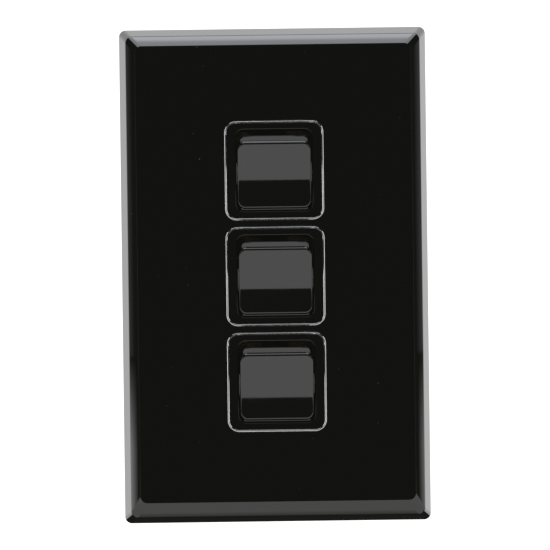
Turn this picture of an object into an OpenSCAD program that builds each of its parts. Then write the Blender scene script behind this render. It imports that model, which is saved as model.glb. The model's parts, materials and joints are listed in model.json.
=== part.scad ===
// Three-gang switch plate: a pull-off cover over a grid that carries three rocker switches.
// +X is right, +Z is up, the front faces -Y and the wall is the plane y = 0.

/* [Plate] */
// Width of the cover
plate_w = 72; // [70:0.5:76]
// Height of the cover
plate_h = 116; // [114:0.5:120]
// How far the cover's face stands off the wall
plate_d = 9.5; // [9:0.1:11]
// Thickness of the cover's face
face_t = 2; // [1.6:0.1:2.2]
// Inset of the crease between the side wall and the bevel
crease_in = 1.38; // [1:0.02:1.8]
// Distance of that crease from the wall
crease_d = 6.2; // [5.5:0.1:6.8]
// Inset of the flat face at the top and bottom
bevel_in = 4.3; // [3.5:0.1:5]
// Inset of the flat face at the sides
side_bevel_in = 3.6; // [3.2:0.1:4.5]
// Distance between the wall screws
screw_pitch = 84; // [84:0.5:85]

/* [Switches] */
// Distance between neighbouring switches
switch_pitch = 24.8; // [24.7:0.1:26]
// Outer size of a trim ring
ring_w = 23.1; // [23:0.05:23.4]
// Wall of a trim ring
ring_t = 0.35; // [0.3:0.05:0.5]
// How far a trim ring stands out of the cover's face
ring_proud = 0.4; // [0.1:0.1:0.5]
// Width of the opening in a bezel
opening_w = 17.9; // [17.8:0.1:18.4]
// Height of the opening in a bezel
opening_h = 19.1; // [19.1:0.1:19.6]
// Thickness of a bezel's front lip
lip_t = 0.8; // [0.6:0.1:0.8]

/* [Rocker] */
// Width of a rocker's key
key_w = 17.1; // [16.6:0.1:17.2]
// Height of a rocker's key
key_h = 15; // [14.6:0.1:15.1]
// Radius of the hollow in the key
hollow_r = 50; // [45:1:80]
// How far the sloping upper and lower edges of the key stand out
brow = 0.55; // [0.3:0.05:0.6]
// Angle of the rocker from its middle position
tilt = 10; // [8:0.5:10]
// Tip-to-tip height of the tongues above and below the key
tongue_h = 18.6; // [18:0.1:18.6]
// Width of the tongues
tongue_w = 15.7; // [15:0.1:16]

/* [Hidden] */
$fn = 48;
fit = 0.05;                        // radial clearance of turning and sliding fits

face_y = -plate_d;
inner_y = face_y + face_t;         // back of the cover's face
grid_y = -4.5;                     // front of the grid
grid_w = plate_w - 7;
grid_h = plate_h - 7;
gangs = [switch_pitch, 0, -switch_pitch];

ring_r = 2.65;                     // outer corner radius of a trim ring
gap = 0.1;                         // between the cover and a trim ring, per side
bezel_w = ring_w - 2 * ring_t - 0.1;
bezel_back_y = -3.6;
bezel_t = 0.7;                     // side wall of a bezel
aperture_w = bezel_w + 0.3;        // hole in the grid for one switch

body_w = bezel_w - 0.1;            // housing of a switch
body_back_y = 8.8;
cavity_w = 18.4;
cavity_h = 19.4;
neck_w = bezel_w - 2 * bezel_t - 0.1;
neck_y = -5.3;
cover_back_y = 17.2;

pivot_y = -3.1;                    // axis of the rockers
key_front = 8;                     // the key's rim ahead of the pivot
brow_front = 6.6;                  // foot of the sloping edge ahead of the pivot
key_back = 4.4;                    // underside of the key ahead of the pivot
tongue_front = 5.8;
trunnion_r = 1.5;
trunnion_x = 10.1;                 // outer end of a trunnion
cheek_x = 8.9;
cheek_t = 2.4;
pin_r = 1.6;                       // plunger
pin_len = 8;                       // its tip behind the pivot
bore_front = 4;                    // blind end of the plunger's bore ahead of the pivot
boss_back = 3.5;
spring_r = 1.2;                    // centre line of the spring's wire
wire_r = 0.2;
turns = 5;

blade_t = 0.8;
blade_w = 5;
blade_h = 14.8;
blade_front_y = pivot_y + pin_len + fit;
blade_axis_y = blade_front_y + blade_t;
blade_tilt = 4;
contact_z = 6;
contact_r = 1.5;
contact_t = 0.6;
fixed_y = blade_axis_y + contact_t + 0.55;   // front of the fixed contacts
arm_y = fixed_y + contact_t;
arm_t = 0.8;
floor_y = arm_y + arm_t + 0.05;    // front of the rear cover's floor

block_w = 6;                       // brass terminal block
block_x = 6;
block_y = 9.2;                     // front of the blocks
tunnel_y = 11.8;                   // cable tunnel
tunnel_r = 1.9;
terminal_screw_r = 1.45;

peg_x = 27;
peg_z = 50;
peg_r = 1.6;

// A rounded rectangle in the plane of the plate
module rounded(w, h, r) {
    square([w - 2 * r, h], center = true);
    square([w, h - 2 * r], center = true);
    for (sx = [-1, 1], sz = [-1, 1])
        translate([sx * (w / 2 - r), sz * (h / 2 - r)])
            circle(r);
}

// Extrudes an outline drawn in X and Z from y0 back to y1
module slab(y0, y1) {
    translate([0, y1, 0])
        rotate([90, 0, 0])
            linear_extrude(height = y1 - y0)
                children();
}

// Extrudes an outline drawn in Y and Z along X, centred
module along_x(length) {
    rotate([90, 0, 90])
        linear_extrude(height = length, center = true)
            children();
}

module rod_x(r, length) {
    rotate([0, 90, 0])
        cylinder(r = r, h = length, center = true);
}

module rod_y(r, y0, y1) {
    translate([0, y1, 0])
        rotate([90, 0, 0])
            cylinder(r = r, h = y1 - y0);
}

// Mirrored outline of a wall that steps in by steps[i][1] at depth steps[i][0]
function stepped(half, steps) = concat(
    [for (s = steps) [s[0], -(half - s[1])]],
    [for (i = [len(steps) - 1 : -1 : 0]) [steps[i][0], half - steps[i][1]]]
);

// A block with stepped walls above and below and others at the sides, mitred at the corners
module mitred(ends, sides) {
    intersection() {
        along_x(2 * plate_h)
            polygon(stepped(plate_h / 2, ends));
        linear_extrude(height = 2 * plate_h, center = true)
            polygon([for (p = stepped(plate_w / 2, sides)) [p[1], p[0]]]);
    }
}

// Places children at the middle of one switch
module at(z) {
    translate([0, 0, z])
        children();
}

// Places a rocker's own parts, drawn in its middle position about the pivot
module tilted() {
    translate([0, pivot_y, 0])
        rotate([tilt, 0, 0])
            children();
}

// Places the blade's parts, drawn level, tipped about the fulcrum
module tipped() {
    translate([0, blade_axis_y, 0])
        rotate([-blade_tilt, 0, 0])
            translate([0, -blade_axis_y, 0])
                children();
}

module at_pegs() {
    for (sx = [-1, 1], sz = [-1, 1])
        translate([sx * peg_x, 0, sz * peg_z])
            children();
}

module cover_plate() {
    wall = 2;
    outer = [[0, 0], [-crease_d, crease_in]];
    inner = [[1, wall], [-crease_d + 0.2, wall + crease_in]];
    color([0.03, 0.03, 0.03]) {
        difference() {
            intersection() {
                mitred(
                    concat(outer, [[face_y, bevel_in]]),
                    concat(outer, [[face_y, side_bevel_in]])
                );
                slab(face_y - 1, 1)
                    rounded(plate_w, plate_h, 1.6);
            }
            mitred(
                concat(inner, [[inner_y, bevel_in + 0.6]]),
                concat(inner, [[inner_y, side_bevel_in + 0.6]])
            );
            for (z = gangs)
                at(z)
                    slab(face_y - 1, 0)
                        rounded(ring_w + 2 * gap, ring_w + 2 * gap, ring_r + gap);
        }
        at_pegs()
            rod_y(peg_r, inner_y - 0.5, -0.6);
    }
}

module grid_plate() {
    rim = 2;
    back_y = -2.3;
    boss_r = 4.6;
    clip_y = [-2.75, -0.75];
    color([0.26, 0.26, 0.265])
        difference() {
            slab(grid_y, 0)
                rounded(grid_w, grid_h, 2.5);
            difference() {
                slab(back_y, 1)
                    rounded(grid_w - 2 * rim, grid_h - 2 * rim, 1);
                slab(back_y - 1, 2) {
                    rounded(aperture_w + 5.4, aperture_w + 2 * switch_pitch + 5.4, 1.5);
                    for (s = [-1, 1])
                        translate([0, s * screw_pitch / 2])
                            circle(boss_r + 1);
                    for (sx = [-1, 1], sz = [-1, 1])
                        translate([sx * peg_x, sz * peg_z])
                            circle(boss_r - 1);
                    for (z = gangs)
                        translate([0, z])
                            square([grid_w - 1, 1.6], center = true);
                }
            }
            for (z = gangs)
                at(z) {
                    slab(grid_y - 1, 1)
                        rounded(aperture_w, aperture_w, 1.7);
                    translate([0, (clip_y[0] + clip_y[1]) / 2, 0])
                        cube([aperture_w + 1, clip_y[1] - clip_y[0], 6.6], center = true);
                }
            for (s = [-1, 1])
                translate([0, 0, s * screw_pitch / 2])
                    rod_y(2.1, grid_y - 1, 1);
            at_pegs()
                rod_y(peg_r + fit, grid_y - 1, 1);
        }
}

module trim_ring() {
    inner = ring_w - 2 * ring_t;
    flange = switch_pitch - 0.4;
    color([0.9, 0.9, 0.9])
        difference() {
            union() {
                slab(face_y - ring_proud, grid_y - 0.05)
                    rounded(ring_w, ring_w, ring_r);
                slab(inner_y + gap, inner_y + 0.7)
                    rounded(flange, flange, 3.3);
            }
            slab(face_y - 1, 0)
                rounded(inner, inner, ring_r - ring_t);
        }
}

module switch_bezel() {
    color([0.04, 0.04, 0.04])
        difference() {
            slab(face_y, bezel_back_y)
                rounded(bezel_w, bezel_w, 2.15);
            slab(face_y + lip_t, 0)
                rounded(bezel_w - 2 * bezel_t, bezel_w - 2 * bezel_t, 1.45);
            slab(face_y - 1, 0)
                rounded(opening_w, opening_h, 1.9);
        }
}

module switch_body() {
    lug_y = -2.5;
    color([0.09, 0.09, 0.095])
        difference() {
            union() {
                slab(neck_y, -3)
                    rounded(neck_w, neck_w, 1.4);
                slab(bezel_back_y + 0.1, body_back_y)
                    rounded(body_w, body_w, 1.6);
                translate([0, lug_y + 0.75, 0])
                    cube([body_w + 0.9, 1.5, 6], center = true);
            }
            slab(neck_y - 1, body_back_y + 1)
                rounded(cavity_w, cavity_h, 1.2);
            translate([0, pivot_y, 0])
                rod_x(trunnion_r + fit, 2 * trunnion_x + 0.2);
        }
}

module rear_cover() {
    color([0.09, 0.09, 0.095])
        difference() {
            union() {
                slab(body_back_y, cover_back_y)
                    rounded(body_w, body_w, 1.6);
                slab(floor_y, body_back_y + 0.1)
                    rounded(cavity_w - 0.1, cavity_h - 0.1, 1.15);
            }
            for (sx = [-1, 1], sz = [-1, 1])
                translate([sx * block_x, 0, sz * contact_z]) {
                    slab(floor_y - 1, block_y + block_w + 0.1)
                        square(block_w + 0.1, center = true);
                    rod_y(2.4, block_y, cover_back_y + 1);
                    translate([sx * block_w, tunnel_y, 0])
                        rod_x(2.1, block_w + 1);
                }
        }
}

module rocker() {
    draft = 0.25;
    centre_y = -key_front - sqrt(hollow_r * hollow_r - key_h * key_h / 4);
    color([0.03, 0.03, 0.03])
        tilted()
            difference() {
                union() {
                    intersection() {
                        slab(-key_front, -key_back)
                            rounded(key_w + draft, key_h + 2 * brow, 1.7);
                        along_x(2 * key_w)
                            polygon([
                                [-key_front, -key_h / 2], [-key_front, key_h / 2],
                                [-brow_front, key_h / 2 + brow],
                                [-key_back, key_h / 2 + draft], [-key_back, -key_h / 2 - draft],
                                [-brow_front, -key_h / 2 - brow]
                            ]);
                    }
                    slab(-tongue_front, -tongue_front + 1)
                        rounded(tongue_w, tongue_h, 0.9);
                    rod_y(2.7, -key_back - 0.1, boss_back);
                    for (s = [-1, 1])
                        translate([s * (cheek_x - cheek_t / 2), 0, 0]) {
                            translate([0, -key_back / 2, 0])
                                cube([cheek_t, key_back + 0.2, 6], center = true);
                            rod_x(3, cheek_t);
                        }
                    for (s = [-1, 1])
                        translate([s * (cheek_x + trunnion_x - 1) / 2, 0, 0])
                            rod_x(trunnion_r, trunnion_x - cheek_x + 1);
                }
                translate([0, centre_y, 0])
                    rotate([0, 90, 0])
                        cylinder(r = hollow_r, h = 2 * key_w, center = true, $fn = 360);
                rod_y(pin_r + fit, -bore_front, boss_back + 1);
            }
}

module plunger() {
    color([0.92, 0.92, 0.9])
        tilted() {
            rod_y(pin_r, 0.5, pin_len - pin_r);
            translate([0, pin_len - pin_r, 0])
                sphere(pin_r);
        }
}

// A round wire wound as a helix along Y
module plunger_spring() {
    sides = 8;
    per_turn = 16;
    rings = turns * per_turn;
    start_y = -bore_front + wire_r + fit;
    pitch = (0.5 - wire_r - fit - start_y) / turns;
    points = [
        for (i = [0 : rings], j = [0 : sides - 1])
            let (
                turn = 360 * i / per_turn,
                round = 360 * j / sides,
                radius = spring_r + wire_r * cos(round)
            )
            [
                radius * cos(turn),
                start_y + pitch * i / per_turn + wire_r * sin(round),
                radius * sin(turn)
            ]
    ];
    walls = [
        for (i = [0 : rings - 1], j = [0 : sides - 1])
            let (a = i * sides + j, b = i * sides + (j + 1) % sides)
            [a, a + sides, b + sides, b]
    ];
    ends = [
        [for (j = [0 : sides - 1]) j],
        [for (j = [sides - 1 : -1 : 0]) rings * sides + j]
    ];
    color([0.7, 0.7, 0.72])
        tilted()
            polyhedron(points = points, faces = concat(walls, ends), convexity = turns * 2);
}

module contact_blade() {
    color([0.8, 0.55, 0.3])
        tipped()
            difference() {
                slab(blade_front_y, blade_axis_y)
                    rounded(blade_w, blade_h, 1);
                for (s = [-1, 1]) {
                    translate([s * blade_w / 2, blade_axis_y, 0])
                        cube([1, 4 * blade_t, 1.2], center = true);
                    translate([0, 0, s * contact_z])
                        rod_y(0.75, 0, blade_axis_y + 1);
                }
            }
}

module blade_contacts() {
    color([0.9, 0.9, 0.88])
        tipped()
            for (s = [-1, 1])
                translate([0, 0, s * contact_z]) {
                    rod_y(contact_r, blade_axis_y, blade_axis_y + contact_t);
                    rod_y(0.73, blade_front_y - 0.1, blade_axis_y + 0.1);
                    rod_y(1.1, blade_front_y - 0.35, blade_front_y);
                }
}

module fixed_contacts() {
    color([0.9, 0.9, 0.88])
        for (s = [-1, 1])
            translate([0, 0, s * contact_z])
                rod_y(contact_r, fixed_y, arm_y);
}

// Brass block with its cable tunnel and screw hole
module terminal_block() {
    translate([0, block_y + block_w / 2, 0])
        difference() {
            cube(block_w, center = true);
            translate([0, tunnel_y - block_y - block_w / 2, 0])
                rod_x(tunnel_r, block_w + 1);
            rod_y(terminal_screw_r + fit, -0.5, block_w);
        }
}

module box(x0, x1, y0, y1, z0, z1) {
    translate([x0, y0, z0])
        cube([x1 - x0, y1 - y0, z1 - z0]);
}

// Switched terminal of the upper contact
module terminal_one() {
    inner_x = block_x - block_w / 2;
    color([0.85, 0.68, 0.3]) {
        translate([block_x, 0, contact_z])
            terminal_block();
        box(-2, inner_x + 1.5, arm_y, arm_y + arm_t, contact_z - 1.8, contact_z + 1.8);
        box(inner_x, inner_x + 1.5, arm_y, block_y + 0.1, contact_z - 1.8, contact_z + 1.8);
    }
}

// Switched terminal of the lower contact
module terminal_two() {
    mirror([0, 0, 1])
        terminal_one();
}

// Common terminal, with the fulcrum that the blade rocks on
module terminal_common() {
    inner_x = block_x - block_w / 2;
    crest_r = 0.6;
    crest_y = blade_axis_y + 0.03 + crest_r;
    strip_x = inner_x + 1.5;
    ear = 0.45;
    color([0.85, 0.68, 0.3]) {
        translate([-block_x, 0, contact_z])
            terminal_block();
        box(-strip_x, -blade_w / 2 - 0.3, arm_y, arm_y + arm_t, -1, contact_z);
        box(-strip_x, -inner_x, arm_y, block_y + 0.1, contact_z - 2.5, contact_z);
        box(-strip_x, blade_w / 2, crest_y, arm_y + arm_t, -crest_r, crest_r);
        translate([(blade_w / 2 - strip_x) / 2, crest_y, 0])
            rod_x(crest_r, strip_x + blade_w / 2);
        for (x = [-blade_w / 2, blade_w / 2 - ear])
            box(x, x + ear, blade_front_y - 0.3, crest_y, -0.4, 0.4);
    }
}

module terminal_loop() {
    color([0.85, 0.68, 0.3])
        translate([-block_x, 0, -contact_z])
            terminal_block();
}

module terminal_screws() {
    tip_y = tunnel_y + tunnel_r - 0.4;
    head_y = block_y + block_w + 0.2;
    color([0.75, 0.75, 0.77])
        for (sx = [-1, 1], sz = [-1, 1])
            translate([sx * block_x, 0, sz * contact_z])
                difference() {
                    union() {
                        rod_y(terminal_screw_r, tip_y, head_y + 0.1);
                        rod_y(2.1, head_y, head_y + 1.6);
                    }
                    translate([0, head_y + 1.6, 0])
                        cube([5, 1.6, 0.7], center = true);
                }
}

cover_plate();
grid_plate();
at(gangs[0]) trim_ring();  // trim_ring_top
at(gangs[1]) trim_ring();  // trim_ring_middle
at(gangs[2]) trim_ring();  // trim_ring_bottom
at(gangs[0]) switch_bezel();  // switch_bezel_top
at(gangs[1]) switch_bezel();  // switch_bezel_middle
at(gangs[2]) switch_bezel();  // switch_bezel_bottom
at(gangs[0]) switch_body();  // switch_body_top
at(gangs[1]) switch_body();  // switch_body_middle
at(gangs[2]) switch_body();  // switch_body_bottom
at(gangs[0]) rear_cover();  // rear_cover_top
at(gangs[1]) rear_cover();  // rear_cover_middle
at(gangs[2]) rear_cover();  // rear_cover_bottom
at(gangs[0]) rocker();  // rocker_top
at(gangs[1]) rocker();  // rocker_middle
at(gangs[2]) rocker();  // rocker_bottom
at(gangs[0]) plunger();  // plunger_top
at(gangs[1]) plunger();  // plunger_middle
at(gangs[2]) plunger();  // plunger_bottom
at(gangs[0]) plunger_spring();  // plunger_spring_top
at(gangs[1]) plunger_spring();  // plunger_spring_middle
at(gangs[2]) plunger_spring();  // plunger_spring_bottom
at(gangs[0]) contact_blade();  // contact_blade_top
at(gangs[1]) contact_blade();  // contact_blade_middle
at(gangs[2]) contact_blade();  // contact_blade_bottom
at(gangs[0]) blade_contacts();  // blade_contacts_top
at(gangs[1]) blade_contacts();  // blade_contacts_middle
at(gangs[2]) blade_contacts();  // blade_contacts_bottom
at(gangs[0]) fixed_contacts();  // fixed_contacts_top
at(gangs[1]) fixed_contacts();  // fixed_contacts_middle
at(gangs[2]) fixed_contacts();  // fixed_contacts_bottom
at(gangs[0]) terminal_common();  // terminal_common_top
at(gangs[1]) terminal_common();  // terminal_common_middle
at(gangs[2]) terminal_common();  // terminal_common_bottom
at(gangs[0]) terminal_one();  // terminal_one_top
at(gangs[1]) terminal_one();  // terminal_one_middle
at(gangs[2]) terminal_one();  // terminal_one_bottom
at(gangs[0]) terminal_two();  // terminal_two_top
at(gangs[1]) terminal_two();  // terminal_two_middle
at(gangs[2]) terminal_two();  // terminal_two_bottom
at(gangs[0]) terminal_loop();  // terminal_loop_top
at(gangs[1]) terminal_loop();  // terminal_loop_middle
at(gangs[2]) terminal_loop();  // terminal_loop_bottom
at(gangs[0]) terminal_screws();  // terminal_screws_top
at(gangs[1]) terminal_screws();  // terminal_screws_middle
at(gangs[2]) terminal_screws();  // terminal_screws_bottom
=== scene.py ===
import bpy
import bmesh
import json
import math
import numpy as np
from mathutils import Matrix, Vector
from mathutils.geometry import tessellate_polygon


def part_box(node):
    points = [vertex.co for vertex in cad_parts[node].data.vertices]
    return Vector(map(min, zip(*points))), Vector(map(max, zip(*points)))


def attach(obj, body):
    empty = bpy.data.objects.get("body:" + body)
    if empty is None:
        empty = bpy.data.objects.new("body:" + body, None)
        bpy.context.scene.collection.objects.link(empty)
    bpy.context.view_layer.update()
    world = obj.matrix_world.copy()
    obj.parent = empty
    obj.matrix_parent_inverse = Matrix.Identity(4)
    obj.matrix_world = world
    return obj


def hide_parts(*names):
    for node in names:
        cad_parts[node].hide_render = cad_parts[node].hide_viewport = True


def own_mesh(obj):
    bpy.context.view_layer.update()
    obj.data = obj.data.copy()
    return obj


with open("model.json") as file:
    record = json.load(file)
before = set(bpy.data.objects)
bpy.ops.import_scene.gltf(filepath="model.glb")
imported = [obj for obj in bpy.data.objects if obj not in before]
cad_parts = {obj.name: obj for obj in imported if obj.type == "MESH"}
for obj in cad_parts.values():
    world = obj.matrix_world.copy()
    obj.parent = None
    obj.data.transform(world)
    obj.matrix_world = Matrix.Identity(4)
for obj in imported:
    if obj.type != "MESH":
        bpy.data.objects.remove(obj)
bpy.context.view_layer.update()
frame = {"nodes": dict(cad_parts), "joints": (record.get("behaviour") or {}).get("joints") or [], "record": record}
mm = 0.001
leastRadius = 0.02   # of the corners of a shrinking loop, so that their points stay apart
pieceWeld = 1e-7     # metres between points that are one
gangs = ("top", "middle", "bottom")


# A path through (a, b, radius) corners. Each corner with a radius becomes an arc that touches
# both of its sides: centre = corner + bisector * radius / sin(half angle).
def softPath(corners, steps=6):
    points = np.array([c[:2] for c in corners], float)
    parts = []
    for k, here in enumerate(points):
        radius = corners[k][2]
        if radius == 0 or k in (0, len(corners) - 1):
            parts.append(here[None])
            continue
        back = points[k - 1] - here
        ahead = points[k + 1] - here
        back /= np.linalg.norm(back)
        ahead /= np.linalg.norm(ahead)
        half = math.acos(np.clip(back @ ahead, -1, 1)) / 2
        middle = (back + ahead) / np.linalg.norm(back + ahead)
        centre = here + middle * radius / math.sin(half)
        start = here + back * radius / math.tan(half) - centre
        end = here + ahead * radius / math.tan(half) - centre
        first = math.atan2(start[1], start[0])
        swing = (math.atan2(end[1], end[0]) - first + math.pi) % (2 * math.pi) - math.pi
        angle = first + swing * np.linspace(0, 1, steps + 1)
        parts.append(centre + radius * np.stack([np.cos(angle), np.sin(angle)], axis=1))
    return np.concatenate(parts)


# Points along a shallow arc from one (a, b) point to another that stands out by the given rise
# to the left of the way from start to end: straight line + normal * rise * 4t(1 - t).
def bowed(start, end, rise, steps=8):
    start, end = np.array(start, float), np.array(end, float)
    t = np.linspace(0, 1, steps + 1)[:, None]
    along = end - start
    normal = np.array([-along[1], along[0]]) / np.linalg.norm(along)
    return start + along * t + normal * rise * 4 * t * (1 - t)


# A rounded rectangle as (x, z) points, anticlockwise from the front: corner k is the quarter
# circle centre_k + r (cos u, sin u) with u from k * 90 degrees, and straight steps join them.
def roundedLoop(width, height, radius, cornerSteps=10, sideSteps=6):
    quarter = math.pi / 2
    turn = np.linspace(0, quarter, cornerSteps + 1)
    signs = ((1, 1), (-1, 1), (-1, -1), (1, -1))
    corners = [
        np.array([sx * (width / 2 - radius), sz * (height / 2 - radius)])
        + radius * np.stack([np.cos(turn + k * quarter), np.sin(turn + k * quarter)], axis=1)
        for k, (sx, sz) in enumerate(signs)
    ]
    t = np.linspace(0, 1, sideSteps + 1)[1:-1, None]
    parts = []
    for k in range(4):
        nextCorner = corners[(k + 1) % 4][0]
        parts += [corners[k], corners[k][-1] * (1 - t) + nextCorner * t]
    return np.concatenate(parts)


# One loop for each (inset, y) of a profile, stacked as rows: the rounded rectangle shrinks by
# the inset on every side, and its corner radius changes by radiusRate for each unit of inset.
# With narrow = (start, share), the left and right sides only move by that share past the start.
def frameLoops(width, height, radius, profile, radiusRate=-1.0, narrow=(0, 1), **steps):
    rows = []
    for inset, y in profile:
        r = max(radius + radiusRate * inset, leastRadius)
        across = min(inset, narrow[0]) + max(inset - narrow[0], 0) * narrow[1]
        flat = roundedLoop(width - 2 * across, height - 2 * inset, r, **steps)
        rows.append(np.stack([flat[:, 0], np.full(len(flat), y), flat[:, 1]], axis=1))
    return np.array(rows)


# Quads between neighbouring rows of a grid whose columns wrap round, and whose rows may too:
# the point in row i and column j has the number i * columns + j.
def gridFaces(rows, columns, wrapRows=False):
    i, j = np.meshgrid(np.arange(rows if wrapRows else rows - 1), np.arange(columns), indexing="ij")
    here, ahead = i * columns, (i + 1) % rows * columns
    nextColumn = (j + 1) % columns
    corners = [here + j, here + nextColumn, ahead + nextColumn, ahead + j]
    return np.stack(corners, axis=-1).reshape(-1, 4)


# A surface through a stack of loops, with flat caps on the first and last loop where asked:
# every point is joined to the next one along its loop and to the same one of the next loop.
def sweptPart(loops, wrapRows=False, capStart=False, capEnd=False):
    rows, columns = loops.shape[:2]
    faces = [list(f) for f in gridFaces(rows, columns, wrapRows)]
    if capStart:
        faces.append(list(range(columns)))
    if capEnd:
        faces.append(list(range((rows - 1) * columns, rows * columns)))
    return loops.reshape(-1, 3), faces


# A flat face inside an outer loop and round any holes: the (x, z) outline less the (x, z) holes,
# cut into triangles that use the loops' own points.
def flatPart(outer, holes=()):
    rings = [outer, *holes]
    triangles = tessellate_polygon([[Vector((p[0], p[2], 0)) for p in ring] for ring in rings])
    return np.concatenate(rings), [list(t) for t in triangles]


# A profile of (radius, height) turned round an axis: centre + height * axis + radius * (cos u, sin u).
def turnedPart(centre, axis, profile, sides=40):
    u = np.linspace(0, 2 * math.pi, sides, endpoint=False)
    along = np.array(axis, float)
    first = np.cross(along, [0.0, 0.0, 1.0] if abs(along[2]) < 0.9 else [1.0, 0.0, 0.0])
    first /= np.linalg.norm(first)
    second = np.cross(along, first)
    circle = np.cos(u)[:, None] * first + np.sin(u)[:, None] * second
    loops = np.array([np.array(centre) + h * along + r * circle for r, h in profile])
    return sweptPart(loops, capStart=True, capEnd=True)


# A new object with the given data, linked to the scene.
def addObject(name, data):
    piece = bpy.data.objects.new(name, data)
    bpy.context.scene.collection.objects.link(piece)
    return piece


# Parts in millimetres become one mesh in metres: every point is turned, if asked, and multiplied
# by 0.001, then the parts are welded where they meet and their faces turned outwards.
def makePiece(name, parts, turn=None):
    vertices, faces, count = [], [], 0
    for points, partFaces in parts:
        vertices.append(points)
        faces += [[i + count for i in face] for face in partFaces]
        count += len(points)
    vertices = np.concatenate(vertices)
    if turn is not None:
        vertices = turn(vertices)
    mesh = bpy.data.meshes.new(name)
    mesh.from_pydata((vertices * mm).tolist(), [], faces)
    work = bmesh.new()
    work.from_mesh(mesh)
    bmesh.ops.remove_doubles(work, verts=work.verts, dist=pieceWeld)
    bmesh.ops.recalc_face_normals(work, faces=work.faces)
    work.to_mesh(mesh)
    work.free()
    mesh.shade_smooth()
    piece = addObject(name, mesh)
    evenOut = piece.modifiers.new("flat faces stay flat", "WEIGHTED_NORMAL")
    evenOut.weight = 100   # the largest faces decide
    return piece


# The piece takes its one material, stands for a node of the frame and rides on that node's body.
def adopt(piece, node, body, material):
    piece.data.materials.clear()
    piece.data.materials.append(material)
    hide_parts(node)
    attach(piece, body)


# A material with the given values on its shader's sockets, returned with its nodes and shader.
def newMaterial(name, **values):
    material = bpy.data.materials.new(name)
    material.use_nodes = True
    shader = material.node_tree.nodes["Principled BSDF"]
    for socket, value in values.items():
        shader.inputs[socket.replace("_", " ")].default_value = value
    return material, material.node_tree, shader


# A node with its settings; each input is set to a value or linked to another node's socket.
def addNode(tree, kind, inputs=None, **settings):
    node = tree.nodes.new(kind)
    for key, value in settings.items():
        setattr(node, key, value)
    for key, value in (inputs or {}).items():
        if hasattr(value, "links"):
            tree.links.new(value, node.inputs[key])
        else:
            node.inputs[key].default_value = value
    return node


# Object coordinates in millimetres, times the stretch where a finish has a direction.
def surfacePlace(tree, stretch=(1, 1, 1)):
    place = addNode(tree, "ShaderNodeTexCoord")
    scale = [s / mm for s in stretch]
    mapping = addNode(tree, "ShaderNodeMapping", {"Vector": place.outputs["Object"], "Scale": scale})
    return mapping.outputs["Vector"]


# Layered noise between 0 and 1, read at place * scale.
def noise(tree, place, scale, detail=3.0, rough=0.55):
    return addNode(
        tree, "ShaderNodeTexNoise",
        {"Vector": place, "Scale": scale, "Detail": detail, "Roughness": rough},
    ).outputs[0]


# A value carried in a straight line from low..high to toLow..toHigh, and held at those ends.
def spread(tree, value, low, high, toLow, toHigh):
    return addNode(
        tree, "ShaderNodeMapRange",
        {"Value": value, "From Min": low, "From Max": high, "To Min": toLow, "To Max": toHigh},
    ).outputs[0]


# start * (1 - share) + end * share, for colours or, as FLOAT, for numbers.
def blend(tree, share, start, end, kind="RGBA"):
    inputs = {"Factor": share, "A": start, "B": end}
    return addNode(tree, "ShaderNodeMix", inputs, data_type=kind).outputs["Result"]


# The product of two values.
def product(tree, first, second):
    return addNode(tree, "ShaderNodeMath", {0: first, 1: second}, operation="MULTIPLY").outputs[0]


# Tilts the shading as if the surface were raised by height * distance, times the strength.
def bump(tree, shader, height, distance, strength=1.0):
    node = addNode(tree, "ShaderNodeBump", {"Height": height, "Distance": distance, "Strength": strength})
    tree.links.new(node.outputs[0], shader.inputs["Normal"])


polishedBlack = {
    "colour": (0.0019, 0.0019, 0.0017),
    "dustColour": (0.09, 0.088, 0.08),
    "roughness": (0.035, 0.075),   # clean, and where it was wiped
    "wipeScale": (0.16, 1, 0.03),  # of the wipe marks for each millimetre, across and along them
    "wipeRange": (0.45, 0.8),      # of their noise, from clean to wiped
    "speckScale": 0.45,            # specks for each millimetre
    "speckSize": 0.07,             # as a share of the space between them
    "speckCore": 0.6,              # share of that size that has the full tone
    "speckShare": 0.2,             # of the cells that hold one, from faint to strong
    "waveScale": 0.05,             # of the moulded waviness for each millimetre
    "waveDepth": 0.000004,         # and its depth in metres
    "insideColour": (0.05, 0.05, 0.05),   # of walls hidden behind the face
    "insideRoughness": 0.5,
}


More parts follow.
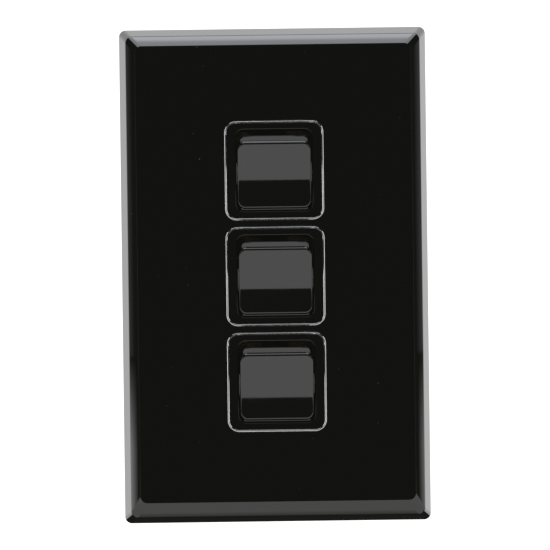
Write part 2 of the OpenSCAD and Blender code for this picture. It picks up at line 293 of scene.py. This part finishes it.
# Gloss black moulding: a very shallow moulded waviness, wiped streaks that are a little duller,
# and a few dust specks. Colour = black * (1 - speck) + dust * speck, where the speck is 1 in the
# middle of a chosen cell and 0 outside it. Between the two depths of inside, in millimetres, it
# turns into the dull finish of the hidden walls.
def blackPlastic(name, specks=1.0, streakTurn=0.0, inside=None):
    p = polishedBlack
    material, tree, shader = newMaterial(name, IOR=1.5)
    place = surfacePlace(tree)
    cells = addNode(tree, "ShaderNodeTexVoronoi", {"Vector": place, "Scale": p["speckScale"]})
    pick = addNode(tree, "ShaderNodeTexWhiteNoise", {"Vector": cells.outputs["Color"]}).outputs["Value"]
    core = p["speckSize"] * p["speckCore"]
    dot = spread(tree, cells.outputs["Distance"], core, p["speckSize"], 1.0, 0.0)
    chosen = spread(tree, pick, 1 - p["speckShare"] * specks, 1.0, 0.0, 1.0)
    speck = product(tree, dot, chosen)
    colour = blend(tree, speck, (*p["colour"], 1), (*p["dustColour"], 1))
    streakPlace = addNode(
        tree, "ShaderNodeMapping",
        {"Vector": place, "Rotation": (0, math.radians(streakTurn), 0), "Scale": p["wipeScale"]},
    ).outputs[0]
    streaks = noise(tree, streakPlace, 1.0, detail=4.0, rough=0.6)
    rough = spread(tree, streaks, *p["wipeRange"], *p["roughness"])
    if inside:
        depth = addNode(tree, "ShaderNodeSeparateXYZ", {"Vector": place}).outputs["Y"]
        share = spread(tree, depth, *inside, 0.0, 1.0)
        colour = blend(tree, share, colour, (*p["insideColour"], 1))
        rough = blend(tree, share, rough, p["insideRoughness"], "FLOAT")
    tree.links.new(colour, shader.inputs["Base Color"])
    tree.links.new(rough, shader.inputs["Roughness"])
    bump(tree, shader, noise(tree, place, p["waveScale"], detail=1.0), p["waveDepth"])
    return material


# Each finish: its colour, its roughness, its grain for each millimetre and the grain's depth.
mattPlastic = {
    "grid": ((0.26, 0.26, 0.265), 0.5, 5.0, 0.00002),
    "housing": ((0.085, 0.087, 0.092), 0.45, 6.0, 0.00002),
    "nylon": ((0.62, 0.6, 0.54), 0.35, 4.0, 0.00001),
    "cloudScale": 0.12,         # of the clouds in every colour, for each millimetre
    "cloudRange": (0.3, 0.7),   # of their noise, from the darker tone to the full colour
    "darker": 0.88,             # the darker tone, as a share of the colour
    "grainStrength": 0.6,
}


# Spark-eroded moulding: fine even grain, and colour * (share of the darker tone .. 1) in clouds.
def grainedPlastic(name, look):
    colour, roughness, grain, depth = look
    m = mattPlastic
    material, tree, shader = newMaterial(name, IOR=1.5, Roughness=roughness)
    place = surfacePlace(tree)
    cloud = spread(tree, noise(tree, place, m["cloudScale"]), *m["cloudRange"], 0.0, 1.0)
    darker = tuple(c * m["darker"] for c in colour)
    tint = blend(tree, cloud, (*darker, 1), (*colour, 1))
    tree.links.new(tint, shader.inputs["Base Color"])
    bump(tree, shader, noise(tree, place, grain, detail=2.0), depth, m["grainStrength"])
    return material


# Each metal: its colour, its roughness from the smoothest to the dullest mark, the stretch of the
# marks along X, Y and Z, their scale for each millimetre, and their depth.
metals = {
    "chrome": ((0.85, 0.85, 0.85), (0.08, 0.14), (1, 1, 1), 1.5, 0.0),
    "brass": ((0.72, 0.5, 0.2), (0.22, 0.38), (0.2, 3, 3), 3.0, 0.000004),
    "bronze": ((0.66, 0.36, 0.18), (0.2, 0.34), (4, 4, 0.2), 2.0, 0.000003),
    "silver": ((0.8, 0.79, 0.76), (0.18, 0.32), (1, 1, 1), 3.0, 0.000003),
    "wire": ((0.5, 0.5, 0.52), (0.2, 0.35), (1, 1, 1), 4.0, 0.000002),
    "zinc": ((0.56, 0.57, 0.58), (0.24, 0.42), (1, 1, 1), 1.4, 0.000006),
    "markRange": (0.3, 0.7),     # of the noise that gives the roughness
    "tintRange": (0.35, 0.65),   # and of the same noise where it gives the colour
    "duller": 0.85,              # the duller tone, as a share of the colour
    "markStrength": 0.5,
}


# Metal with drawing, rolling or turning marks: one stretched noise sets the roughness, the height
# and the colour, which runs from the duller tone to the full one.
def metal(name, look):
    colour, roughness, stretch, scale, depth = look
    m = metals
    material, tree, shader = newMaterial(name, Metallic=1.0)
    place = surfacePlace(tree, stretch)
    marks = noise(tree, place, scale, detail=4.0)
    rough = spread(tree, marks, *m["markRange"], *roughness)
    tree.links.new(rough, shader.inputs["Roughness"])
    duller = tuple(c * m["duller"] for c in colour)
    share = spread(tree, marks, *m["tintRange"], 0.0, 1.0)
    tint = blend(tree, share, (*duller, 1), (*colour, 1))
    tree.links.new(tint, shader.inputs["Base Color"])
    if depth:
        bump(tree, shader, marks, depth, m["markStrength"])
    return material


coverBlack = blackPlastic("polished cover", specks=1.0, streakTurn=8.0)
bezelBlack = blackPlastic("polished bezel", specks=0.4, streakTurn=60.0, inside=(-9.1, -8.8))
keyBlack = blackPlastic("polished key", specks=0.5, streakTurn=85.0)
gridGrey = grainedPlastic("grid moulding", mattPlastic["grid"])
housingGrey = grainedPlastic("housing moulding", mattPlastic["housing"])
nylon = grainedPlastic("natural nylon", mattPlastic["nylon"])
chrome = metal("bright plating", metals["chrome"])
brass = metal("machined brass", metals["brass"])
bronze = metal("rolled bronze", metals["bronze"])
silver = metal("contact silver", metals["silver"])
springWire = metal("drawn wire", metals["wire"])
zincSteel = metal("zinc plated steel", metals["zinc"])
print("materials made")


cover = {
    "sideInset": 1.5,        # inset of the crease from the outline
    "creaseDepth": 6.2,      # its distance from the wall
    "bevelInset": 4.42,      # inset of the flat face at the top and bottom
    "sideShare": 0.75,       # width of the side bevels as a share of those
    "bevelRise": 0.06,       # how far the bevel bulges
    "creaseRadius": 1.1,
    "faceRadius": 0.15,
    "faceLift": 0.67,        # how much higher the face sits than the outline
    "faceMargin": 1.2,       # band of the flat face that is swept with the bevel
    "cornerRadius": 1.6,
    "wall": 2.0,
    "rearEdge": 0.15,        # rounding of the edge that meets the wall
    "hollowInset": 0.6,      # how far the hollow's corner is inside the bevel's
    "hollowMargin": 1.6,     # and where the part of the inner face that is swept with it ends
    "hollowRadius": 0.4,
    "innerCrease": (0.2, 0.8),   # how much deeper the crease is inside, and its radius there
    "openingGap": 0.1,       # to a trim ring
    "openingEdge": 0.1,      # rounding in front, and behind
    "openingRearEdge": 0.05,
    "openingMargin": 0.3,    # band of the inner face that is swept with the opening
    "pegRadius": 1.6,
    "pegPlace": (27, 50),
    "pegTip": (0.9, 1.3, 0.6),   # radii of the tip's flat middle and rim, and its distance
    "pegChamfer": 1.2,       # from the wall, and that of the end of its chamfer
    "pegFoot": (1.9, 0.3),   # radius of the foot, and how deep it sits in the face
}


# The corners of a node's box, in millimetres.
def boxOf(node):
    low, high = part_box(node)
    return np.array(low) / mm, np.array(high) / mm


# The cover: one profile from the inner face round the rear edge to the flat face, carried round
# the outline. The face is lifted by faceLift * (inset - sideInset) / (bevelInset - sideInset),
# held between 0 and 1, so the outline stays and the flat face moves. Three openings and four
# pegs are added.
def coverPlate():
    c = cover
    low, high = boxOf("cover_plate")
    width, height = high[0] - low[0], high[2] - low[2]
    faceY, innerY = low[1], low[1] + c["wall"]
    bevel = bowed((c["sideInset"], -c["creaseDepth"]), (c["bevelInset"], faceY), -c["bevelRise"])
    outside = softPath(
        [
            (c["wall"], 0, 0), (0, 0, c["rearEdge"]),
            (c["sideInset"], -c["creaseDepth"], c["creaseRadius"]),
            *[(a, y, 0) for a, y in bevel[1:-1]],
            (c["bevelInset"], faceY, c["faceRadius"]),
            (c["bevelInset"] + c["faceMargin"], faceY, 0),
        ]
    )
    creaseDrop, innerCreaseRadius = c["innerCrease"]
    inside = softPath(
        [
            (c["bevelInset"] + c["hollowMargin"], innerY, 0),
            (c["bevelInset"] + c["hollowInset"], innerY, c["hollowRadius"]),
            (c["wall"] + c["sideInset"], creaseDrop - c["creaseDepth"], innerCreaseRadius),
            (c["wall"], 0, 0),
        ]
    )
    profile = np.concatenate([inside, outside[1:]])
    narrow = (c["sideInset"], c["sideShare"])
    corner = c["cornerRadius"]
    shell = frameLoops(width, height, corner, profile, radiusRate=0, narrow=narrow, sideSteps=10)
    rise = (profile[len(inside):, 0] - c["sideInset"]) / (c["bevelInset"] - c["sideInset"])
    shell[len(inside):, :, 2] += c["faceLift"] * np.clip(rise, 0, 1)[:, None]
    parts = [sweptPart(shell)]
    outerHoles, innerHoles = [], []
    for gang in gangs:
        ringLow, ringHigh = boxOf("trim_ring_" + gang)
        centreZ = (ringLow[2] + ringHigh[2]) / 2
        size = trim["size"] + 2 * c["openingGap"]
        path = softPath(
            [
                (-2 * c["openingEdge"], faceY, 0), (0, faceY, c["openingEdge"]),
                (0, innerY, c["openingRearEdge"]), (-c["openingMargin"], innerY, 0),
            ]
        )
        hole = frameLoops(size, size, trim["cornerRadius"] + c["openingGap"], path)
        hole[:, :, 2] += centreZ
        parts.append(sweptPart(hole))
        outerHoles.append(hole[0])
        innerHoles.append(hole[-1])
    parts += [flatPart(shell[-1], outerHoles), flatPart(shell[0], innerHoles)]
    peg = c["pegRadius"]
    tipInner, tipOuter, tipY = c["pegTip"]
    footRadius, footDepth = c["pegFoot"]
    pegProfile = [
        (tipInner, -tipY), (tipOuter, -tipY), (peg, -c["pegChamfer"]),
        (peg, innerY), (footRadius, innerY - footDepth),
    ]
    for sx in (-1, 1):
        for sz in (-1, 1):
            place = (sx * c["pegPlace"][0], 0, sz * c["pegPlace"][1])
            parts.append(turnedPart(place, (0, 1, 0), pegProfile))
    piece = makePiece("coverPlate", parts)
    adopt(piece, "cover_plate", "cover", coverBlack)


trim = {
    "size": 23.1, "cornerRadius": 2.65, "wall": 0.35,
    "chamfer": 0.08, "chamferDepth": 0.063, "edge": 0.015,   # of both front edges
    "rearEdge": 0.08,
    "flange": 0.65, "flangeDepth": 2.5, "flangeThickness": 0.6, "flangeEdge": 0.1,
}


# A trim ring: a closed profile of (inset, y), with chamfered front edges and a flange that holds
# it behind the cover, carried round the rounded square and moved to the switch's height.
def trimRing(gang):
    t = trim
    node = "trim_ring_" + gang
    low, high = boxOf(node)
    centreZ = (low[2] + high[2]) / 2
    faceY, backY = low[1], high[1]
    w, cut, edge, out = t["wall"], t["chamfer"], t["edge"], -t["flange"]
    cutY = faceY + t["chamferDepth"]
    flangeY = faceY + t["flangeDepth"]
    rearY = flangeY + t["flangeThickness"]
    rear, lip = t["rearEdge"], t["flangeEdge"]
    profile = softPath(
        [
            (w / 2, backY, 0), (0, backY, rear), (0, rearY, 0), (out, rearY, lip), (out, flangeY, lip),
            (0, flangeY, 0), (0, cutY, edge), (cut, faceY, edge), (w - cut, faceY, edge),
            (w, cutY, edge), (w, backY, rear), (w / 2, backY, 0),
        ]
    )[:-1]
    loops = frameLoops(t["size"], t["size"], t["cornerRadius"], profile)
    loops[:, :, 2] += centreZ
    piece = makePiece("trimRing_" + gang, [sweptPart(loops, wrapRows=True)])
    adopt(piece, node, "grid", chrome)


bezel = {
    "cornerRadius": 2.15, "edge": 0.12, "rearEdge": 0.05,
    "wall": 0.55,
    "opening": (17.9, 19.05, 1.9),   # width, height and corner radius
    "openingEdge": 0.3,
    "lip": 0.8, "lipEdge": 0.1,      # thickness of the front round the opening
    "hollowEdge": 0.15,              # where that front meets the walls inside
    # flat bands: beside the outer edge, before and behind the lip, and beside the hollow
    "margins": (0.4, 0.5, 0.4, 0.3),
}


# A bezel: three profiles of (inset, y), down the outside, over the opening's lip and down the
# hollow behind it, are each carried round their own rounded rectangle and joined into one skin.
def switchBezel(gang):
    b = bezel
    node = "switch_bezel_" + gang
    low, high = boxOf(node)
    centreZ, size = (low[2] + high[2]) / 2, high[0] - low[0]
    faceY, backY = low[1], high[1]
    w, h, r = b["opening"]
    lipY, rear, half = faceY + b["lip"], b["rearEdge"], b["wall"] / 2
    face, front, back, base = b["margins"]
    outer = softPath([(half, backY, 0), (0, backY, rear), (0, faceY, b["edge"]), (face, faceY, 0)])
    lip = softPath(
        [(-front, faceY, 0), (0, faceY, b["openingEdge"]), (0, lipY, b["lipEdge"]), (-back, lipY, 0)]
    )
    inner = softPath([(base, lipY, 0), (0, lipY, b["hollowEdge"]), (0, backY, rear), (-half, backY, 0)])
    hollow = size - 2 * b["wall"]
    loops = np.concatenate(
        [
            frameLoops(size, size, b["cornerRadius"], outer),
            frameLoops(w, h, r, lip),
            frameLoops(hollow, hollow, b["cornerRadius"] - b["wall"], inner)[:-1],
        ]
    )
    loops[:, :, 2] += centreZ
    piece = makePiece("switchBezel_" + gang, [sweptPart(loops, wrapRows=True)])
    adopt(piece, node, "grid", bezelBlack)


key = {
    "width": 17.1, "height": 15.0, "cornerRadius": 1.65,
    "front": 7.7, "back": 4.4,       # ahead of the pivot
    "hollowRadius": 50.0,            # of the concave face
    "edge": 0.28, "draft": 0.12,
    "rimBand": (0.5, 0.6),           # of the wall and of the face, beside the rounded edge
    "faceRows": (26, 0.02),          # loops across the face, and half the width of the last
    "browDrops": (0, 0.65, 1.3, 2.2),   # depths behind the rim, and how far the edges above
    "upperReach": (0.32, 0.75, 0.57, 0.44),   # and below stand out there
    "lowerReach": (0, 0.43, 0.25, 0.12),
    "browEdge": 0.04,                # half the width of the brow's own edge
    "tongue": (15.7, 18.95, 0.9),    # width, height and corner radius
    "tongueFront": 6.8, "tongueThickness": 1.0, "tongueEdge": 0.1,
    "tongueBands": (0.3, 2.0),       # of its flat faces, from the edge inwards
    "trunnionRadius": 1.5, "trunnionReach": (8.4, 10.1), "trunnionEdges": (0.05, 0.25),
    "cheek": (6.5, 8.9),             # from and to, along X
    "cheekHeight": 6, "cheekBack": 2.4, "cheekCorner": 0.6, "cheekEdges": (0.1, 0.3),
    "cheekBands": (1.2, 1.1),        # of its front and back faces, from the edge inwards
    "bossRadius": 2.7, "bossBack": 3.5, "bossRoot": 0.3, "bossEdges": (0.1, 0.2),
    "boreRadius": 1.65, "boreFront": 4.0,
    "capRadii": (0.5, 0.6),          # of the flat middle of a turned end, and of the bore's end
    "tilt": 10.0,                    # degrees
}


# Depth of the key's face ahead of the pivot at height z: a cylinder of the hollow's radius
# through the upper and lower rims.
def faceDepth(z):
    k = key
    rim = math.sqrt(k["hollowRadius"] ** 2 - (k["height"] / 2) ** 2)
    return k["front"] + rim - np.sqrt(k["hollowRadius"] ** 2 - z ** 2)


# The key: a rounded block whose face follows the hollow, y = drop - faceDepth(z) at the rim and
# fading to a flat back, and whose upper and lower edges slope outwards: z moves by
# reach(drop) * share, where share is 1 on those edges and 0 on the sides.
def keyBlock():
    k = key
    depth = k["front"] - k["back"]
    brow, tight = k["browDrops"], k["browEdge"]
    wallBand, faceBand = k["rimBand"]
    rows, lastHalf = k["faceRows"]
    wall = [
        (-k["draft"], depth), (0, brow[3]), (0, brow[2]),
        (0, brow[1] + tight), (0, brow[1]), (0, brow[1] - tight),
    ]
    rim = softPath([(0, wallBand, 0), (0, 0, k["edge"]), (faceBand, 0, 0)], steps=8)
    fill = [(i, 0) for i in np.linspace(faceBand, k["height"] / 2 - lastHalf, rows)[1:]]
    profile = np.concatenate([wall, rim, fill])
    loops = frameLoops(
        k["width"], k["height"], k["cornerRadius"], profile,
        radiusRate=-0.9, cornerSteps=12, sideSteps=24,
    )
    drop = loops[:, :, 1].copy()
    straight = k["height"] / 2 - k["cornerRadius"]
    share = np.clip((np.abs(loops[:1, :, 2]) - straight) / k["cornerRadius"], 0, 1)
    follow = np.clip(1 - drop / depth, 0, 1)
    loops[:, :, 1] = drop - faceDepth(loops[:, :, 2]) * follow - k["front"] * (1 - follow)
    upper = np.interp(drop, k["browDrops"], k["upperReach"])
    lower = np.interp(drop, k["browDrops"], k["lowerReach"])
    loops[:, :, 2] += share * np.where(loops[:1, :, 2] > 0, upper, -lower)
    return sweptPart(loops, capStart=True, capEnd=True)


# A whole rocker in its own untilted frame, with the pivot at 0: the key's block, the tongue as a
# slab through it, two cheeks (rounded blocks) with trunnions (rods along X), and the boss (a tube
# along Y, closed in front) for the plunger.
def rockerParts():
    k = key
    w, h, r = k["tongue"]
    e = k["tongueEdge"]
    front, rear = -k["tongueFront"], k["tongueThickness"] - k["tongueFront"]
    near, far = k["tongueBands"]
    slab = softPath(
        [(far, rear, 0), (near, rear, 0), (0, rear, e), (0, front, e), (near, front, 0), (far, front, 0)]
    )
    loops = frameLoops(w, h, r, slab, radiusRate=-0.3)
    parts = [keyBlock(), sweptPart(loops, capStart=True, capEnd=True)]
    inner, outer = k["cheek"]
    frontEdge, backEdge = k["cheekEdges"]
    frontBand, backBand = k["cheekBands"]
    front, rear = -k["back"], k["cheekBack"]
    cheek = softPath(
        [(frontBand, front, 0), (0, front, frontEdge), (0, rear, backEdge), (backBand, rear, 0)]
    )
    near, far = k["trunnionReach"]
    nearEdge, farEdge = k["trunnionEdges"]
    thick = k["trunnionRadius"]
    cap, boreCap = k["capRadii"]
    rod = softPath([(cap, near, 0), (thick, near, nearEdge), (thick, far, farEdge), (cap, far, 0)])
    for side in (-1, 1):
        size = (outer - inner, k["cheekHeight"])
        loops = frameLoops(*size, k["cheekCorner"], cheek, radiusRate=-0.3)
        loops[:, :, 0] += side * (inner + outer) / 2
        parts.append(sweptPart(loops, capStart=True, capEnd=True))
        parts.append(turnedPart((0, 0, 0), (side, 0, 0), rod))
    bore, outside, blind, rear = k["boreRadius"], k["bossRadius"], -k["boreFront"], k["bossBack"]
    boreEdge, bossEdge = k["bossEdges"]
    root = -k["back"] - k["bossRoot"]
    boss = softPath(
        [
            (boreCap, blind, 0), (bore, blind, 0), (bore, rear, boreEdge),
            (outside, rear, bossEdge), (outside, root, 0), (cap, root, 0),
        ]
    )
    parts.append(turnedPart((0, 0, 0), (0, 1, 0), boss))
    return parts


# The place of a joint, in metres.
def jointPlace(name):
    return next(j for j in frame["joints"] if j["name"] == name)["pos_m"]


# A rocker in its place: every point is turned by the tilt about X, y' = y cos - z sin and
# z' = y sin + z cos, and moved to the pivot.
def rocker(gang):
    node = "rocker_" + gang
    pivot = jointPlace(f"rocker_{gang}_tilt")
    angle = math.radians(key["tilt"])

    def turn(points):
        x, y, z = points.T
        return np.stack(
            [
                x,
                pivot[1] / mm + y * math.cos(angle) - z * math.sin(angle),
                pivot[2] / mm + y * math.sin(angle) + z * math.cos(angle),
            ],
            axis=1,
        )

    piece = makePiece(node + "_key", rockerParts(), turn)
    adopt(piece, node, node, keyBlack)


coverPlate()
for gang in gangs:
    trimRing(gang)
    switchBezel(gang)
    rocker(gang)
print("cover, trim rings, bezels and rockers made")


# Each family of inner parts: its slot, its material and the width of its rounded edges in
# millimetres, where 0 leaves the edges as they are.
dress = {
    "grid_plate": ("grid_grey", gridGrey, 0.25),
    "switch_body": ("housing_grey", housingGrey, 0.25),
    "rear_cover": ("housing_grey", housingGrey, 0.3),
    "plunger": ("plunger_nylon", nylon, 0),
    "plunger_spring": ("spring_steel", springWire, 0),
    "contact_blade": ("blade_copper", bronze, 0.1),
    "blade_contacts": ("contact_silver", silver, 0.12),
    "fixed_contacts": ("contact_silver", silver, 0.12),
    "terminal_common": ("terminal_brass", brass, 0.15),
    "terminal_one": ("terminal_brass", brass, 0.15),
    "terminal_two": ("terminal_brass", brass, 0.15),
    "terminal_loop": ("terminal_brass", brass, 0.15),
    "terminal_screws": ("screw_steel", zincSteel, 0.15),
}
softening = {
    "weld": 2e-6,       # metres between points that are one
    "flat": 0.6,        # degrees between faces that are one
    "sharp": 35,        # degrees past which an edge is rounded
    "segments": 2,
}


# A merged copy of a node's mesh with its flat faces joined up, so that its edges can be rounded:
# each sharp edge becomes a strip of the width.
def softenedCopy(node, source, width):
    s = softening
    mesh = source.data.copy()
    work = bmesh.new()
    work.from_mesh(mesh)
    bmesh.ops.remove_doubles(work, verts=work.verts, dist=s["weld"])
    flat = math.radians(s["flat"])
    bmesh.ops.dissolve_limit(work, angle_limit=flat, verts=work.verts, edges=work.edges)
    work.to_mesh(mesh)
    work.free()
    mesh.shade_smooth()
    piece = addObject(node + "_soft", mesh)
    if not width:
        return piece
    rounding = piece.modifiers.new("rounded edges", "BEVEL")
    rounding.width = width * mm
    rounding.segments = s["segments"]
    rounding.limit_method = "ANGLE"
    rounding.angle_limit = math.radians(s["sharp"])
    rounding.harden_normals = True
    return piece


# Reads a spring's points and gives the spring its own copy of its mesh; its shape is left as it is.
def shortenSpring(piece):
    places = np.empty(len(piece.data.vertices) * 3)
    piece.data.vertices.foreach_get("co", places)
    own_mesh(piece)


for node, source in sorted(frame["nodes"].items()):
    family = node if node in dress else node.rsplit("_", 1)[0]
    if family not in dress:
        continue
    slotName, material, width = dress[family]
    if width or family == "plunger_spring":
        piece = softenedCopy(node, source, width)
        body = next(b for b, nodes in frame["record"]["behaviour"]["bodies"].items() if node in nodes)
        adopt(piece, node, body, material)
        if family == "plunger_spring":
            shortenSpring(piece)
    else:
        source.data.materials.clear()
        source.data.materials.append(material)
print("inner parts dressed")


studio = {
    "white": 1.3,              # what the camera sees behind the plate
    "backdrop": 1.31,          # what lights it from behind, fading to the dark room in front
    "dark": 0.03,
    "fade": (0.37, 0.86),      # backward part of the direction, from dark to bright
    "topColour": (0.92, 0.937, 1.0),
    "topHeight": 0.55,
    "topSize": (0.7, -0.4, 0.36),   # width, front and back
    "topGlow": 5.2,
    "topStart": (-0.12, -0.07, 0.22),   # each step of the glow along Y runs from, to, and has
    "topRise": (0.168, 0.2, 0.64),      # this share of the glow in front of it
    "topFall": (0.235, 0.34, 0.2),      # or, for this one, behind it
    "floorDrop": 0.415,
    "floorSize": (12, -1.31, 6),        # width, front and back
    "floorGlow": 1.68,
    "floorFall": (-0.35, -0.02, 0.69),   # from, to, and the share behind it
    "underDrop": 0.25,                   # a dark card below the plate
    "underSize": (0.7, -0.02, 0.9),
    "underFall": (-0.01, 0.012, 0.014),
    "sideGlow": 1.9,                     # of the cards at both sides, behind the plate
    "sideReach": 0.35, "sideDrop": 0.24, "sideBack": 0.26,
    "sideFade": (-0.055, -0.03),         # heights between which they fade out
    "leftRise": (0.1, 0.165), "rightRise": (0.12, 0.205),   # and depths between which they start
    "stripGlow": 1.6,
    "strip": (-0.16, -0.05, 0.25),       # front, back and half height
}
cameraSetup = {
    "distance": 2.5, "azimuth": -0.75, "elevation": 1.46, "roll": 0.736,
    "frameWidth": 0.12933,               # metres across the picture at the plate
    "aim": (0.0, 0.0, 0.00003), "sensor": 36.0, "farthest": 100,
    "strayLight": (0.0038, 0.0038, 0.0033), "filterPlace": 0.2, "filterSize": 0.03,
}


# A flat light or card of the studio, through its corners.
def sheet(name, corners, material):
    mesh = bpy.data.meshes.new(name)
    mesh.from_pydata(corners, [], [list(range(len(corners)))])
    mesh.materials.append(material)
    piece = addObject(name, mesh)
    return piece


# A material with nothing in it but its output, returned with its nodes and its surface socket.
def bareMaterial(name):
    material = bpy.data.materials.new(name)
    material.use_nodes = True
    tree = material.node_tree
    tree.nodes.clear()
    return material, tree, addNode(tree, "ShaderNodeOutputMaterial").inputs["Surface"]


# A light's surface. Its glow is strength * product of ramps, each along one axis (0 X, 1 Y, 2 Z)
# of the light and running from the share low at a to the share high at b.
def glowing(name, colour, strength, *ramps):
    material, tree, surface = bareMaterial(name)
    place = addNode(tree, "ShaderNodeTexCoord").outputs["Object"]
    axes = addNode(tree, "ShaderNodeSeparateXYZ", {"Vector": place})
    level = addNode(tree, "ShaderNodeValue").outputs[0]
    level.default_value = strength
    for axis, a, b, low, high in ramps:
        ramp = spread(tree, axes.outputs[axis], a, b, low, high)
        level = product(tree, level, ramp)
    glow = addNode(tree, "ShaderNodeEmission", {"Color": (*colour, 1), "Strength": level})
    tree.links.new(glow.outputs[0], surface)
    return material


# The room. Its light runs from dark in front to the backdrop behind, along the backward part of
# the direction, and where it is seen directly it is one plain white.
def studioWorld():
    s = studio
    world = bpy.data.worlds.new("studio")
    bpy.context.scene.world = world
    world.use_nodes = True
    tree = world.node_tree
    tree.nodes.clear()
    direction = addNode(tree, "ShaderNodeTexCoord").outputs["Generated"]
    behind = addNode(tree, "ShaderNodeSeparateXYZ", {"Vector": direction}).outputs["Y"]
    level = spread(tree, behind, *s["fade"], s["dark"], s["backdrop"])
    lit = addNode(tree, "ShaderNodeBackground", {"Color": (1, 1, 1, 1), "Strength": level})
    plain = addNode(tree, "ShaderNodeBackground", {"Color": (1, 1, 1, 1), "Strength": s["white"]})
    path = addNode(tree, "ShaderNodeLightPath")
    mixed = addNode(
        tree, "ShaderNodeMixShader",
        {0: path.outputs["Is Camera Ray"], 1: lit.outputs[0], 2: plain.outputs[0]},
    )
    out = addNode(tree, "ShaderNodeOutputWorld")
    tree.links.new(mixed.outputs[0], out.inputs["Surface"])


# A level rectangle at the height z, centred on X.
def levelSheet(name, width, front, back, z, material):
    x = width / 2
    return sheet(name, [(-x, front, z), (x, front, z), (x, back, z), (-x, back, z)], material)


# The lights: a softbox overhead, its glow times three steps along Y; a pale floor and a dark card
# below; and on each side a card behind the plate, which starts along Y and ends along Z, and an
# even strip in front. Only the floor is seen directly.
def studioLights():
    s = studio
    riseFrom, riseTo, riseLow = s["topRise"]
    fallFrom, fallTo, fallLow = s["topFall"]
    startFrom, startTo, startLow = s["topStart"]
    softbox = glowing(
        "softbox glow", s["topColour"], s["topGlow"],
        (1, riseFrom, riseTo, riseLow, 1), (1, fallFrom, fallTo, 1, fallLow),
        (1, startFrom, startTo, startLow, 1),
    )
    top = levelSheet("topSoftbox", *s["topSize"], s["topHeight"], softbox)
    a, b, low = s["floorFall"]
    paleFloor = glowing("pale floor", (1, 1, 1), s["floorGlow"], (1, a, b, 1, low))
    levelSheet("floor", *s["floorSize"], -s["floorDrop"], paleFloor)
    a, b, low = s["underFall"]
    blackCard = glowing("black card", (1, 1, 1), s["floorGlow"] * s["floorFall"][2], (1, a, b, 1, low))
    under = levelSheet("underCard", *s["underSize"], -s["underDrop"], blackCard)
    c, d = s["sideFade"]
    drop, far = s["sideDrop"], s["sideBack"]
    front, back, half = s["strip"]
    stripLight = glowing("strip glow", (1, 1, 1), s["stripGlow"])
    cards = [top, under]
    for side, x in (("left", -s["sideReach"]), ("right", s["sideReach"])):
        a, b = s[side + "Rise"]
        glow = glowing(side + " glow", (1, 1, 1), s["sideGlow"], (1, a, b, 0, 1), (2, c, d, 1, 0))
        corners = [(x, a, -drop), (x, far, -drop), (x, far, d), (x, a, d)]
        cards.append(sheet(side + "Card", corners, glow))
        corners = [(x, front, -half), (x, back, -half), (x, back, half), (x, front, half)]
        cards.append(sheet(side + "Strip", corners, stripLight))
    for card in cards:
        card.visible_camera = False


# The camera, with azimuth a and elevation e: it stands at aim + distance * (sin a cos e,
# -cos a cos e, sin e), looks at the aim and is rolled about its own axis, and its focal length
# is sensor * distance / frameWidth.
def studioCamera():
    c = cameraSetup
    azimuth, elevation = math.radians(c["azimuth"]), math.radians(c["elevation"])
    aim = Vector(c["aim"])
    level = math.cos(elevation)
    away = Vector((math.sin(azimuth) * level, -math.cos(azimuth) * level, math.sin(elevation)))
    data = bpy.data.cameras.new("camera")
    data.sensor_width = c["sensor"]
    data.lens = c["sensor"] * c["distance"] / c["frameWidth"]
    data.clip_end = c["farthest"]
    camera = addObject("camera", data)
    place = Matrix.Translation(aim + away * c["distance"])
    look = (-away).to_track_quat("-Z", "Y").to_matrix().to_4x4()
    camera.matrix_world = place @ look @ Matrix.Rotation(math.radians(-c["roll"]), 4, "Z")
    bpy.context.scene.camera = camera
    return camera


# A clear filter in front of the lens: what is seen through it is what lies behind it plus the
# stray light, so that the deepest shadows are not quite black.
def lensFilter(camera):
    c = cameraSetup
    material, tree, surface = bareMaterial("stray light")
    clear = addNode(tree, "ShaderNodeBsdfTransparent")
    haze = addNode(tree, "ShaderNodeEmission", {"Color": (*c["strayLight"], 1), "Strength": 1.0})
    both = addNode(tree, "ShaderNodeAddShader", {0: clear.outputs[0], 1: haze.outputs[0]})
    tree.links.new(both.outputs[0], surface)
    half = c["filterSize"] / 2
    signs = ((-1, -1), (1, -1), (1, 1), (-1, 1))
    corners = [camera.matrix_world @ Vector((a * half, b * half, -c["filterPlace"])) for a, b in signs]
    filterSheet = sheet("lensFilter", corners, material)
    for ray in ("diffuse", "glossy", "transmission", "shadow"):
        setattr(filterSheet, "visible_" + ray, False)


studioWorld()
studioLights()
lensFilter(studioCamera())
bpy.context.scene.view_settings.view_transform = "Standard"
print("studio made")
